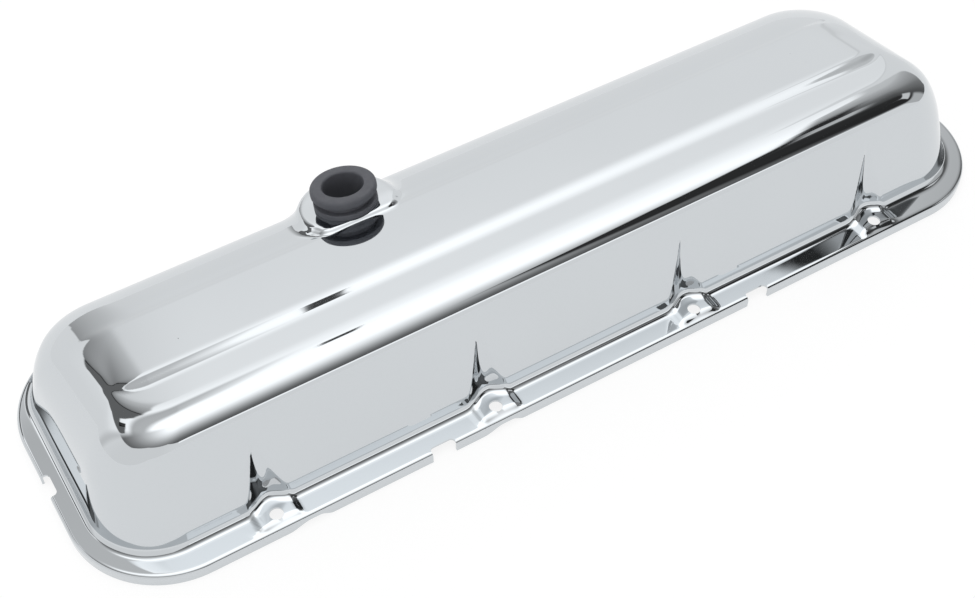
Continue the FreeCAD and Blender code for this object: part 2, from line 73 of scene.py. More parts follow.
# Raised panel on the deck
PANEL_HALF = 234.0
PANEL_FRONT = 8.0
PANEL_REAR = 36.3
PANEL_CORNER = 12.0
PANEL_RISE = 1.9
PANEL_FALL = math.tan(math.radians(14.2))
PANEL_FRONT_SLOPE = 3.0
PANEL_SIDE_SLOPE = 2.2
PANEL_SKIRT = 6.0
PANEL_OVERSHOOT = 1.0
PANEL_EDGE_ROUND = 0.9
PANEL_FOOT_ROUND = 0.7
PANEL_END_START = 212.8
PANEL_END_CURVE = 0.0072

# Bolts and their seats
BOLT_PITCH = 122.936
BOLT_LINE = 72.5
BOLT_HOLE_RADIUS = 3.5
BOLT_SHIFT = 1.4
FRONT_BOLTS = BOLT_SHIFT + BOLT_PITCH * np.array([-1.5, -0.5, 0.5, 1.5])
REAR_BOLTS = BOLT_SHIFT + BOLT_PITCH * np.array([-1.0, 0.0, 1.0])
SEAT_RISE = 1.4
SEAT_HALF = 8.5
SEAT_RAMP = 5.0
SEAT_FADE_START = 0.72

# Tapered pockets above the bolts
POCKET_RADIUS = 9.0
POCKET_HEIGHT = 37.0
POCKET_LEAN = math.tan(math.radians(24.5))
POCKET_AXIS = 71.5
POCKET_SPREAD = 1.6
POCKET_TIP = 0.6
POCKET_CLOSING = 3.0
REAR_POCKET_RADIUS = 10.5
REAR_POCKET_HEIGHT = 33.0
REAR_POCKET_CLOSING = 0.08
MOUTH_DEPTH = 1.5
MOUTH_OUTSIDE = 1.2
MOUTH_INSIDE = 0.6

# Breather boss and grommet
BREATHER_X = -76.2
BREATHER_Y = 51.9
BREATHER_HOLE_RADIUS = 14.0
BOSS_RISE = 2.8
BOSS_RADIUS = 25.5
BOSS_FOOT_RADIUS = 38.0
BOSS_FOOT_Y = 40.5
BOSS_FOOT_Z = LIP_DROP + 20.0
BOSS_OVERSHOOT = 0.2
BOSS_FLANK_SCALE = 0.9
BOSS_EDGE_ROUND = 2.5
BOSS_FRONT = 34.4
BOSS_FRONT_ROUND = 4.0
BOSS_TOP_Z = LIP_DROP + DECK_HEIGHT - BREATHER_Y * DECK_FALL + BOSS_RISE
BREATHER_LEAN = math.atan(DECK_FALL)
BREATHER_AXIS = (0.0, math.sin(BREATHER_LEAN), math.cos(BREATHER_LEAN))

# Width of the hollow between boss and deck: narrow at its front, wide behind, growing between
BOSS_FRONT_BLEND = 1.6
BOSS_BLEND = 7.0
BOSS_BLEND_START = 1.0
BOSS_BLEND_END = 12.0

# Grommet's turned section: radius, height above the boss and rounding of each corner
GROMMET_SECTION = (
    (11.0, -4.6, 0.5),
    (14.1, -4.6, 0.5),
    (15.8, -1.23, 0.4),
    (13.85, -1.23, 0.2),
    (13.85, 0.03, 0.2),
    (17.0, 0.03, 0.4),
    (17.0, 3.2, 0.6),
    (13.7, 3.2, 0.4),
    (13.7, 7.5, 0.4),
    (17.6, 7.5, 0.5),
    (17.6, 11.5, 1.8),
    (11.0, 11.5, 1.2),
)
GROMMET_SIDES = 112
CORNER_POINTS = 5

# Notches in the lip: two in its front at these X, and one in the middle of its left end
NOTCH_WIDTH = 13.5
NOTCH_DEPTH = 4.2
NOTCH_ROUND = 2.2
NOTCH_CORNER_POINTS = 7
FRONT_NOTCHES = (-94.7, 99.5)

# Reliefs in the lip's lower edge
RELIEFS = (-166.6, -57.8)
RELIEF_HEIGHT = 3.3
RELIEF_HALF_FLAT = 2.5
RELIEF_LEFT_RAMP = 12.0
RELIEF_RIGHT_RAMP = 7.0

# Stations round the cover: their pitch, and how far fine ones reach from bolts and breather
FRONT_STRAIGHT = FOOT_LENGTH / 2 - CORNER_FRONT
REAR_STRAIGHT = FOOT_LENGTH / 2 - CORNER_REAR
CORNER_STEPS = 28
END_STEPS = 24
STRAIGHT_PITCH = 4.5
FINE_PITCH = 0.9
PITCH_GROWTH = 0.35
BOLT_REACH = 12.0
BREATHER_REACH = 37.0
NEARLY_ONE = 0.9999

# Rows from the middle of the panel to the lip's edge
DECK_ROWS = 34
WALL_ROWS = 48
CREASE_ROWS = np.arange(0.8, 2.8, 0.165)
BEND_ROWS = 7
RAIL_ROWS = 8
LIP_BEND_ROWS = 5
LIP_ROWS = 3
INNER_STRIDE = 4
INNER_LOW_STRIDE = 2

# Flat slot in the middle of the panel, from which the deck's rows spread
SLOT_HALF_LENGTH = 190.0
SLOT_FRONT = 7.0
SLOT_REAR = 19.0

# Search along a normal for a raised form's surface: greatest rise, steps and halvings
REACH = 24.0
REACH_STEPS = 60
HALVINGS = 18

# Cutters: how far they stand out of the sheet, and the sides of the round ones
DRUM_HALF_LENGTH = 4.0
NOTCH_CLEARANCE = 5.0
BOLT_HOLE_SIDES = 48
BREATHER_HOLE_SIDES = 96

SHARP_ANGLE = math.radians(35.0)


def smooth_min(a, b, blend):
    """The lesser of two distances, rounded over a blend width where they are nearly equal."""
    overlap = np.maximum(blend - np.abs(a - b), 0.0)
    return np.minimum(a, b) - overlap * overlap / (4.0 * blend)


def smooth_max(a, b, blend):
    """The greater of two distances, rounded in the same way."""
    return -smooth_min(-a, -b, blend)


def smooth_step(low, high, value):
    """0 at the first limit and 1 at the second, with a soft start and end between them."""
    share = np.clip((value - low) / (high - low), 0.0, 1.0)
    return share * share * (3.0 - 2.0 * share)


def points_at(x, y, z):
    return np.stack(np.broadcast_arrays(x, y, z), axis=-1)


def inset(side, level):
    """How far a side has drawn in at a level: its draft, then a quarter-ellipse shoulder."""
    draft, across, down = side
    climb = np.clip((level - (DECK_HEIGHT - down)) / down, 0.0, 1.0)
    return level * draft + across * (1.0 - np.sqrt(1.0 - climb * climb))


def box_outline(level, flare=0.0):
    """Half length, front, rear and the two corner radii of the box at a level."""
    end = inset(END_SIDE, level)
    return (
        FOOT_LENGTH / 2 - end + flare,
        FOOT_FRONT - inset(FRONT_SIDE, level) + flare,
        FOOT_REAR - inset(REAR_SIDE, level) + flare,
        CORNER_FRONT - CORNER_TIGHTENING * end + flare,
        CORNER_REAR + flare,
    )


def rail_outline(offset):
    """The same five measures of the rail's edge, moved outward by an offset."""
    half = RAIL_WIDTH / 2 + offset
    corner = RAIL_CORNER + offset
    return RAIL_LENGTH / 2 + offset, half, half, corner, corner


def spread(low, high, places, reach):
    """Stations from low to high, fine within reach of some places and wider away from them."""
    found = [low]
    while found[-1] < high - TINY:
        beyond = np.min(np.abs(np.array(places) - found[-1]) - np.array(reach))
        step = FINE_PITCH if beyond < 0.0 else min(STRAIGHT_PITCH, FINE_PITCH + PITCH_GROWTH * beyond)
        found.append(min(found[-1] + step, high))
    if found[-1] - found[-2] < FINE_PITCH / 2:
        found.pop(-2)
    return np.array(found)


def make_stations():
    """Stations round the cover: the two corners each lies between, its share and its heading.

    Corners count 0 front right, 1 rear right, 2 rear left, 3 front left.
    """
    front_places = [*FRONT_BOLTS, *RELIEFS]
    front_x = spread(-FRONT_STRAIGHT, FRONT_STRAIGHT, front_places, [BOLT_REACH] * len(front_places))
    rear_places = [*REAR_BOLTS, BREATHER_X]
    rear_reach = [BOLT_REACH] * len(REAR_BOLTS) + [BREATHER_REACH]
    rear_x = spread(-REAR_STRAIGHT, REAR_STRAIGHT, rear_places, rear_reach)
    turn = np.linspace(0.0, QUARTER, CORNER_STEPS + 1)[:-1]
    corner = np.zeros(CORNER_STEPS)
    along = np.linspace(0.0, 1.0, END_STEPS + 1)[:-1]
    front_share = ((front_x + FRONT_STRAIGHT) / (2 * FRONT_STRAIGHT))[:-1]
    rear_share = ((REAR_STRAIGHT - rear_x[::-1]) / (2 * REAR_STRAIGHT))[:-1]
    runs = [
        (3, 0, front_share, np.full(len(front_share), -QUARTER)),
        (0, 0, corner, -QUARTER + turn),
        (0, 1, along, np.zeros(END_STEPS)),
        (1, 1, corner, turn),
        (1, 2, rear_share, np.full(len(rear_share), QUARTER)),
        (2, 2, corner, QUARTER + turn),
        (2, 3, along, np.full(END_STEPS, math.pi)),
        (3, 3, corner, math.pi + turn),
    ]
    counts = [len(run[2]) for run in runs]
    start = np.repeat([run[0] for run in runs], counts)
    end = np.repeat([run[1] for run in runs], counts)
    return start, end, np.concatenate([run[2] for run in runs]), np.concatenate([run[3] for run in runs])


START, END, SHARE, HEADING = make_stations()
STATIONS = len(SHARE)
OUT_X = np.cos(HEADING)
OUT_Y = np.sin(HEADING)
ON_FRONT = OUT_Y < -NEARLY_ONE
ON_REAR = OUT_Y > NEARLY_ONE


def on_outline(outline):
    """Points of a rounded oblong at every station: a corner's centre plus its radius outward."""
    half, front, rear, round_front, round_rear, _ = np.broadcast_arrays(*outline, HEADING)
    centres_x = np.stack([half - round_front, half - round_rear, round_rear - half, round_front - half])
    centres_y = np.stack([round_front - front, rear - round_rear, rear - round_rear, round_front - front])
    radii = np.stack([round_front, round_rear, round_rear, round_front])
    pick = np.arange(STATIONS)

    def between(values):
        first = np.moveaxis(values, -1, 0)[pick, START]
        second = np.moveaxis(values, -1, 0)[pick, END]
        weight = SHARE.reshape((-1,) + (1,) * (first.ndim - 1))
        return np.moveaxis(first * (1.0 - weight) + second * weight, 0, -1)

    radius = between(radii)
    return between(centres_x) + radius * OUT_X, between(centres_y) + radius * OUT_Y


def pocket_depth(x, level):
    """How deep the bolt pockets dent the walls.

    In its middle a front pocket is as deep as its leaning cone reaches inside the wall. To its
    edges the depth falls by the square of 1 - s squared, where s is the share of its half
    width. A rear pocket is as deep as the chord of an upright cone, with a rounded mouth.
    """
    depth = np.zeros(np.broadcast(x, level).shape)
    radius = POCKET_RADIUS * np.clip(1.0 - level / POCKET_HEIGHT, 0.0, 1.0) + POCKET_TIP
    front_wall = FOOT_FRONT - level * FRONT_SIDE[0]
    proud = POCKET_AXIS - level * POCKET_LEAN - front_wall
    half = POCKET_SPREAD * np.sqrt(np.maximum(radius ** 2 - proud ** 2, TINY))
    low_enough = ON_FRONT & (level < POCKET_HEIGHT + POCKET_CLOSING)
    for bolt in FRONT_BOLTS:
        share = np.clip((x - bolt) / half, -1.0, 1.0) ** 2
        dent = np.maximum(radius - proud, 0.0) * (1.0 - share) ** 2
        depth = np.where(low_enough, np.maximum(depth, dent), depth)
    height = np.clip(1.0 - level / REAR_POCKET_HEIGHT, 0.0, 1.0)
    opened = smooth_step(0.0, REAR_POCKET_CLOSING, height)
    radius = REAR_POCKET_RADIUS * height + POCKET_TIP * opened
    for bolt in REAR_BOLTS:
        offset = np.abs(x - bolt)
        chord = np.sqrt(np.maximum(radius ** 2 - offset ** 2, 0.0))
        mouth = MOUTH_DEPTH * smooth_step(MOUTH_OUTSIDE, -MOUTH_INSIDE, offset - radius) * opened
        near = ON_REAR & (offset < 2.0 * REAR_POCKET_RADIUS)
        depth = np.where(near, np.maximum(depth, chord + mouth), depth)
    return depth


def seat_rise(x):
    """Height of the bolt seats above the rail, ramped at both ends."""
    rise = np.zeros(np.shape(x))
    for bolts, side in ((FRONT_BOLTS, ON_FRONT), (REAR_BOLTS, ON_REAR)):
        for bolt in bolts:
            ramp = smooth_step(SEAT_HALF + SEAT_RAMP, SEAT_HALF, np.abs(x - bolt))
            rise = np.where(side, np.maximum(rise, SEAT_RISE * ramp), rise)
    return rise


def lip_edge(x):
    """Height of the lip's lower edge, raised smoothly at the reliefs in its front."""
    height = np.zeros(np.shape(x))
    for middle in RELIEFS:
        left = smooth_step(middle - RELIEF_HALF_FLAT - RELIEF_LEFT_RAMP, middle - RELIEF_HALF_FLAT, x)
        right = smooth_step(middle + RELIEF_HALF_FLAT + RELIEF_RIGHT_RAMP, middle + RELIEF_HALF_FLAT, x)
        height = np.where(ON_FRONT, np.maximum(height, RELIEF_HEIGHT * left * right), height)
    return height


def tilted(x, y, level):
    """Points on a level of the box; the levels lean until the deck falls to the rear."""
    share = np.maximum(level, 0.0) / DECK_HEIGHT
    return points_at(x, y, LIP_DROP + level - y * DECK_FALL * share)


def deck_rows():
    """Rows from the flat middle slot of the panel out to the edge of the deck."""
    outline = box_outline(DECK_HEIGHT)
    _, front, rear, _, _ = outline
    edge_x, edge_y = on_outline(outline)
    slot_x = np.clip(edge_x, -SLOT_HALF_LENGTH, SLOT_HALF_LENGTH)
    share = np.clip((edge_y + front) / (front + rear), 0.0, 1.0)
    slot_y = SLOT_FRONT + (SLOT_REAR - SLOT_FRONT) * share
    out = np.linspace(0.0, 1.0, DECK_ROWS + 1)[:-1, None]
    x = slot_x + (edge_x - slot_x) * out
    y = slot_y + (edge_y - slot_y) * out
    return tilted(x, y, DECK_HEIGHT)


def wall_rows(rise):
    """Rows from the edge of the deck down the shoulder and wall, closer together near the deck."""
    rows = np.union1d(np.arange(WALL_ROWS + 1), CREASE_ROWS)
    down = (rows / WALL_ROWS)[:, None] ** 2
    level = DECK_HEIGHT - (DECK_HEIGHT - FOOT_BEND - rise) * down
    x, y = on_outline(box_outline(level))
    return tilted(x, y, level), level


def bend_rows(rise):
    """The hollow quarter-round bend between wall and rail."""
    turn = np.radians(np.linspace(90.0, 0.0, BEND_ROWS + 1)[1:])[:, None]
    level = FOOT_BEND * (1.0 - np.cos(turn)) + rise
    x, y = on_outline(box_outline(level, FOOT_BEND * (1.0 - np.sin(turn))))
    return tilted(x, y, level), level


def rail_rows(foot):
    """Rows over the rail, from the foot of the bend to the lip's bend, with the bolt seats."""
    edge_x, edge_y = on_outline(rail_outline(-LIP_BEND))
    out = np.linspace(0.0, 1.0, RAIL_ROWS + 1)[1:, None]
    x = foot[:, 0] + (edge_x - foot[:, 0]) * out
    y = foot[:, 1] + (edge_y - foot[:, 1]) * out
    fade = smooth_step(1.0, SEAT_FADE_START, out)
    return points_at(x, y, LIP_DROP + seat_rise(x) * fade)


def lip_rows():
    """Rows round the lip's quarter-round bend and down to its lower edge."""
    turn = np.radians(np.linspace(0.0, 90.0, LIP_BEND_ROWS + 1)[1:])[:, None]
    bend_x, bend_y = on_outline(rail_outline(-LIP_BEND * (1.0 - np.sin(turn))))
    bend = points_at(bend_x, bend_y, LIP_DROP - LIP_BEND * (1.0 - np.cos(turn)))
    x, y = on_outline(rail_outline(0.0))
    edge_z = lip_edge(x)
    down = np.linspace(1.0, 0.0, LIP_ROWS + 1)[1:, None]
    lip = points_at(x, y, edge_z + (LIP_DROP - LIP_BEND - edge_z) * down)
    return np.concatenate([bend, lip])


def grid_normals(grid):
    """Unit normals of a grid of points that closes on itself along its stations."""
    along = np.roll(grid, -1, axis=1) - np.roll(grid, 1, axis=1)
    down = np.gradient(grid, axis=0)
    normal = np.cross(down, along)
    return normal / np.maximum(np.linalg.norm(normal, axis=-1, keepdims=True), VANISHING)


def oblong_distance(x, y, half, front, rear, corner):
    """Signed distance in plan to a rounded oblong."""
    middle = (rear - front) / 2
    across = np.abs(x) - half + corner
    deep = np.abs(y - middle) - (front + rear) / 2 + corner
    outside = np.hypot(np.maximum(across, 0.0), np.maximum(deep, 0.0))
    return outside + np.minimum(np.maximum(across, deep), 0.0) - corner


def panel_distance(points):
    """Distance to the raised panel: below its tilted plane and inside its sloping sides.

    Its ends fall away from the plane by the square of the way beyond a start.
    """
    x, y, z = points[..., 0], points[..., 1], points[..., 2]
    end_fall = PANEL_END_CURVE * np.maximum(np.abs(x) - PANEL_END_START, 0.0) ** 2
    depth = LIP_DROP + DECK_HEIGHT + PANEL_RISE - end_fall - y * PANEL_FALL - z
    below = np.clip(depth, -PANEL_OVERSHOOT, PANEL_SKIRT)
    front_side = -(y + PANEL_FRONT + PANEL_FRONT_SLOPE * below) / math.hypot(1.0, PANEL_FRONT_SLOPE)
    sides = oblong_distance(
        x,
        y,
        PANEL_HALF + PANEL_SIDE_SLOPE * below,
        PANEL_FRONT + PANEL_FRONT_SLOPE * below,
        PANEL_REAR + PANEL_SIDE_SLOPE * below,
        PANEL_CORNER + PANEL_SIDE_SLOPE * below,
    ) / math.hypot(1.0, PANEL_SIDE_SLOPE)
    walls = smooth_max(sides, front_side, PANEL_EDGE_ROUND)
    return smooth_max(walls, -depth / math.hypot(1.0, PANEL_FALL), PANEL_EDGE_ROUND)


def boss_distance(points):
    """Distance to the breather boss: a cone from its level foot to its tilted flat top.

    The cone's centre moves to the rear as it climbs, and a straight face cuts its front.
    """
    x, y, z = points[..., 0], points[..., 1], points[..., 2]
    top = BOSS_TOP_Z - (y - BREATHER_Y) * DECK_FALL
    climb = np.clip((z - BOSS_FOOT_Z) / (top - BOSS_FOOT_Z), -BOSS_OVERSHOOT, 1.0 + BOSS_OVERSHOOT)
    radius = BOSS_FOOT_RADIUS + (BOSS_RADIUS - BOSS_FOOT_RADIUS) * climb
    centre_y = BOSS_FOOT_Y + (BREATHER_Y - BOSS_FOOT_Y) * climb
    flank = (np.hypot(x - BREATHER_X, y - centre_y) - radius) * BOSS_FLANK_SCALE
    turned = smooth_max(flank, (z - top) / math.hypot(1.0, DECK_FALL), BOSS_EDGE_ROUND)
    return smooth_max(turned, BOSS_FRONT - y, BOSS_FRONT_ROUND)


def with_raised_forms(grid, normal):
    """Push a grid out along its normals to the panel and the boss, blended into the box."""

    def distance(out):
        points = grid + normal * out[..., None]
        body = smooth_min(out, panel_distance(points), PANEL_FOOT_ROUND)
        behind = smooth_step(BOSS_FRONT + BOSS_BLEND_START, BOSS_FRONT + BOSS_BLEND_END, points[..., 1])
        blend = BOSS_FRONT_BLEND + (BOSS_BLEND - BOSS_FRONT_BLEND) * behind
        return smooth_min(body, boss_distance(points), blend)

    steps = np.linspace(0.0, REACH, REACH_STEPS)
    inner = np.zeros(grid.shape[:2])
    outer = np.zeros(grid.shape[:2])
    for low, high in zip(steps[:-1], steps[1:]):
        inside = distance(np.full(grid.shape[:2], low)) < -TINY
        inner = np.where(inside, low, inner)
        outer = np.where(inside, high, outer)
    for _ in range(HALVINGS):
        middle = (inner + outer) / 2
        inside = distance(middle) < 0.0
        inner = np.where(inside, middle, inner)
        outer = np.where(inside, outer, middle)
    return grid + normal * ((inner + outer) / 2)[..., None]


def outer_grid():
    """Every row of the cover's outer face, from the middle of the panel to the lip's edge."""
    foot_x, _ = on_outline(box_outline(0.0))
    rise = seat_rise(foot_x)
    walls, wall_level = wall_rows(rise)
    bend, bend_level = bend_rows(rise)
    upper = np.concatenate([deck_rows(), walls])
    upper = with_raised_forms(upper, grid_normals(upper))
    lower_level = np.concatenate([wall_level, bend_level])
    lower = np.concatenate([upper[DECK_ROWS:], bend])
    dent = pocket_depth(lower[..., 0], lower_level)
    lower[..., 0] -= OUT_X * dent
    lower[..., 1] -= OUT_Y * dent
    return np.concatenate([upper[:DECK_ROWS], lower, rail_rows(lower[-1]), lip_rows()])


def grid_faces(rows, columns, closed=False):
    """Quads of a grid whose rows close on themselves; closed joins the last row to the first."""
    row = np.arange(rows if closed else rows - 1)[:, None] * columns
    next_row = (row + columns) % (rows * columns)
    column = np.arange(columns)[None, :]
    next_column = np.roll(column, -1)
    corners = [row + column, row + next_column, next_row + next_column, next_row + column]
    return np.stack(corners, axis=-1).reshape(-1, 4)


def cover_mesh():
    """The sheet as one closed skin: the outer grid, then the same form one thickness inside."""
    outer = outer_grid()
    rows = len(outer)
    inside = outer - SHEET * grid_normals(outer)
    inside[-1, :, 2] = outer[-1, :, 2]
    low_rows = BEND_ROWS + RAIL_ROWS + LIP_BEND_ROWS + LIP_ROWS
    coarse = list(range(0, rows - low_rows - INNER_STRIDE, INNER_STRIDE))
    fine = list(range(rows - low_rows, rows - 1, INNER_LOW_STRIDE)) + [rows - 1]
    inner = inside[(coarse + fine)[::-1]]
    grid = np.concatenate([outer, inner])
    total = len(grid)
    turned_out = [0, 3, 2, 1]
    faces = grid_faces(total, STATIONS)[:, turned_out].tolist()
    ring = np.arange(STATIONS)
    faces.append(ring.tolist())
    faces.append(((total - 1) * STATIONS + ring[::-1]).tolist())
    inner_rows = np.arange(total - 1) >= rows
    material = np.concatenate([np.repeat(inner_rows, STATIONS), [0, 1]]).astype(int)
    return grid.reshape(-1, 3) * MM, faces, material


def mesh_object(name, points, faces):
    mesh = bpy.data.meshes.new(name)
    mesh.from_pydata(points.tolist(), [], faces)
    mesh.update()
    thing = bpy.data.objects.new(name, mesh)
    bpy.context.scene.collection.objects.link(thing)
    return thing


def prism_faces(count):
    """Walls and both ends of a prism with so many points in its lower and its upper ring."""
    walls = [(i, (i + 1) % count, count + (i + 1) % count, count + i) for i in range(count)]
    return walls + [tuple(range(count))[::-1], tuple(range(count, 2 * count))]


def unit_ring(axis, sides):
    """Points on a circle of radius 1 round an axis that is square to X."""
    across = np.array([1.0, 0.0, 0.0])
    upward = np.cross(np.array(axis), across)
    angle = np.linspace(0.0, 2 * math.pi, sides, endpoint=False)[:, None]
    return np.cos(angle) * across + np.sin(angle) * upward


def notch_cutter(middle, inward, along):
    """A notch's cutter: an upright prism, square outside the lip and round at its inner corners."""
    turn = np.linspace(0.0, QUARTER, NOTCH_CORNER_POINTS)
    round_x = NOTCH_WIDTH / 2 - NOTCH_ROUND + NOTCH_ROUND * np.cos(turn)
    round_y = NOTCH_DEPTH - NOTCH_ROUND + NOTCH_ROUND * np.sin(turn)
    across = np.concatenate([[-NOTCH_WIDTH / 2, NOTCH_WIDTH / 2], round_x, -round_x[::-1]])
    deep = np.concatenate([[-NOTCH_CLEARANCE, -NOTCH_CLEARANCE], round_y, round_y[::-1]])
    plan = np.array(middle) + across[:, None] * np.array(along) + deep[:, None] * np.array(inward)
    low = np.column_stack([plan, np.full(len(plan), -NOTCH_CLEARANCE)])
    high = np.column_stack([plan, np.full(len(plan), 2 * LIP_DROP)])
    return np.concatenate([low, high]), prism_faces(len(plan))


def drum_cutter(centre, axis, radius, sides):
    """A round cutter: two rings of points about an axis, closed at both ends."""
    ring = np.array(centre) + radius * unit_ring(axis, sides)
    reach = np.array(axis) * DRUM_HALF_LENGTH
    return np.concatenate([ring - reach, ring + reach]), prism_faces(sides)


def pierce(cover):
    """Cut the bolt holes, the breather hole and the lip's notches out of the sheet."""
    cutters = []
    for bolts, line in ((FRONT_BOLTS, -BOLT_LINE), (REAR_BOLTS, BOLT_LINE)):
        for bolt in bolts:
            centre = (bolt, line, LIP_DROP)
            cutters.append(drum_cutter(centre, (0.0, 0.0, 1.0), BOLT_HOLE_RADIUS, BOLT_HOLE_SIDES))
    breather = (BREATHER_X, BREATHER_Y, BOSS_TOP_Z)
    cutters.append(drum_cutter(breather, BREATHER_AXIS, BREATHER_HOLE_RADIUS, BREATHER_HOLE_SIDES))
    for notch in FRONT_NOTCHES:
        cutters.append(notch_cutter((notch, -RAIL_WIDTH / 2), (0.0, 1.0), (1.0, 0.0)))
    cutters.append(notch_cutter((-RAIL_LENGTH / 2, 0.0), (1.0, 0.0), (0.0, -1.0)))
    points = []
    faces = []
    for corners, sides in cutters:
        faces += [[len(points) + i for i in face] for face in sides]
        points += (corners * MM).tolist()
    cutter = mesh_object("cutter", np.array(points), faces)
    cut = cover.modifiers.new("pierced", "BOOLEAN")
    cut.operation = "DIFFERENCE"
    cut.solver = "EXACT"
    cut.object = cutter
    graph = bpy.context.evaluated_depsgraph_get()
    pierced = bpy.data.meshes.new_from_object(cover.evaluated_get(graph))
    cover.modifiers.clear()
    cover.data = pierced
    bpy.data.objects.remove(cutter)


def grommet_mesh():
    """The grommet's section turned about the breather's axis, each corner rounded by a curve.

    A corner's curve is the parabola from a point before the corner to one after it, both the
    rounding away from the corner, with the corner as its control point.
    """
    section = np.array(GROMMET_SECTION)
    corners = section[:, :2]
    rounding = section[:, 2:]
    before = np.roll(corners, 1, axis=0) - corners
    after = np.roll(corners, -1, axis=0) - corners
    before = corners + rounding * before / np.linalg.norm(before, axis=1, keepdims=True)
    after = corners + rounding * after / np.linalg.norm(after, axis=1, keepdims=True)
    share = np.linspace(0.0, 1.0, CORNER_POINTS)[None, :, None]
    curve = (1.0 - share) ** 2 * before[:, None] + 2.0 * share * (1.0 - share) * corners[:, None]
    rounded = (curve + share ** 2 * after[:, None]).reshape(-1, 2)
    ring = unit_ring(BREATHER_AXIS, GROMMET_SIDES)
    points = rounded[:, None, :1] * ring[None] + rounded[:, None, 1:] * np.array(BREATHER_AXIS)
    points = points + np.array([BREATHER_X, BREATHER_Y, BOSS_TOP_Z])
    faces = grid_faces(len(rounded), GROMMET_SIDES, closed=True)
    return points.reshape(-1, 3) * MM, faces.tolist()


def smooth_shaded(thing):
    mesh = thing.data
    mesh.polygons.foreach_set("use_smooth", np.ones(len(mesh.polygons), bool))
    mesh.set_sharp_from_angle(angle=SHARP_ANGLE)


# Range of the noise that runs a finish from its first value to its second
NOISE_LOW = 0.3
NOISE_HIGH = 0.7

# Finishes: darker and paler colour, range of roughness, and grains a metre of each noise
CHROME_COLOURS = ((0.598, 0.625, 0.646, 1.0), (0.61, 0.637, 0.658, 1.0))
CHROME_ROUGHNESS = (0.02, 0.045)
CHROME_WAVES = 22.0
CHROME_POLISH = 260.0
CHROME_WAVE_HEIGHT = 0.00008
PLATING_COLOURS = ((0.45, 0.455, 0.46, 1.0), (0.56, 0.565, 0.57, 1.0))
PLATING_ROUGHNESS = (0.22, 0.34)
PLATING_CLOUDS = 35.0
PLATING_GRAIN = 700.0
RUBBER_COLOURS = ((0.088, 0.092, 0.106, 1.0), (0.118, 0.123, 0.14, 1.0))
RUBBER_ROUGHNESS = (0.55, 0.7)
RUBBER_CLOUDS = 140.0
RUBBER_GRAIN = 500.0
RUBBER_PITS = 1500.0
RUBBER_PIT_DEPTH = 0.00006
BAFFLE_COLOURS = ((0.44, 0.44, 0.445, 1.0), (0.56, 0.56, 0.565, 1.0))
BAFFLE_ROUGHNESS = (0.3, 0.42)
BAFFLE_SCRATCHES = 60.0
BAFFLE_STRETCH = (1.0, 30.0, 30.0)
BAFFLE_SCRATCH_DEPTH = 0.00003


def new_material(name, **inputs):
    """A material whose shader has the given values; an underscore stands for a space."""
    material = bpy.data.materials.new(name)
    material.use_nodes = True
    shader = material.node_tree.nodes["Principled BSDF"]
    for socket, value in inputs.items():
        shader.inputs[socket.replace("_", " ")].default_value = value
    return material


def noise_on(material, grain, detail=2.0, stretch=(1.0, 1.0, 1.0)):
    """Noise on the object's own coordinates: so many grains a metre, stretched by axis."""
    nodes = material.node_tree.nodes
    links = material.node_tree.links
    place = nodes.new("ShaderNodeTexCoord")
    mapping = nodes.new("ShaderNodeMapping")
    mapping.inputs["Scale"].default_value = stretch
    noise = nodes.new("ShaderNodeTexNoise")
    noise.inputs["Scale"].default_value = grain
    noise.inputs["Detail"].default_value = detail
    links.new(place.outputs["Object"], mapping.inputs["Vector"])
    links.new(mapping.outputs["Vector"], noise.inputs["Vector"])
    return noise.outputs["Fac"]


def varied(material, socket, fac, low, high):
    """Let a value of the shader run between two numbers with the noise."""
    nodes = material.node_tree.nodes
    links = material.node_tree.links
    span = nodes.new("ShaderNodeMapRange")
    span.inputs["From Min"].default_value = NOISE_LOW
    span.inputs["From Max"].default_value = NOISE_HIGH
    span.inputs["To Min"].default_value = low
    span.inputs["To Max"].default_value = high
    links.new(fac, span.inputs["Value"])
    links.new(span.outputs["Result"], nodes["Principled BSDF"].inputs[socket])


def tinted(material, fac, low, high):
    """Let the base colour run between two colours with the noise."""
    nodes = material.node_tree.nodes
    links = material.node_tree.links
    blend = nodes.new("ShaderNodeMix")
    blend.data_type = "RGBA"
    blend.inputs["A"].default_value = low
    blend.inputs["B"].default_value = high
    links.new(fac, blend.inputs["Factor"])
    links.new(blend.outputs["Result"], nodes["Principled BSDF"].inputs["Base Color"])


def rippled(material, fac, height):
    """Stand the surface up and down with the noise by a height in metres."""
    nodes = material.node_tree.nodes
    links = material.node_tree.links
    bump = nodes.new("ShaderNodeBump")
    bump.inputs["Strength"].default_value = 1.0
    bump.inputs["Distance"].default_value = height
    links.new(fac, bump.inputs["Height"])
    links.new(bump.outputs["Normal"], nodes["Principled BSDF"].inputs["Normal"])


def chrome_finish():
    """Bright plating with the faint waves of drawn sheet and slightly uneven polish."""
    material = new_material("bright_chrome", Metallic=1.0)
    waves = noise_on(material, CHROME_WAVES, detail=0.0)
    tinted(material, waves, *CHROME_COLOURS)
    varied(material, "Roughness", noise_on(material, CHROME_POLISH), *CHROME_ROUGHNESS)
    rippled(material, waves, CHROME_WAVE_HEIGHT)
    return material


def inside_finish():
    """Thin dull plating on the inside of the sheet."""
    material = new_material("plain_plating", Metallic=1.0)
    tinted(material, noise_on(material, PLATING_CLOUDS), *PLATING_COLOURS)
    varied(material, "Roughness", noise_on(material, PLATING_GRAIN), *PLATING_ROUGHNESS)
    return material


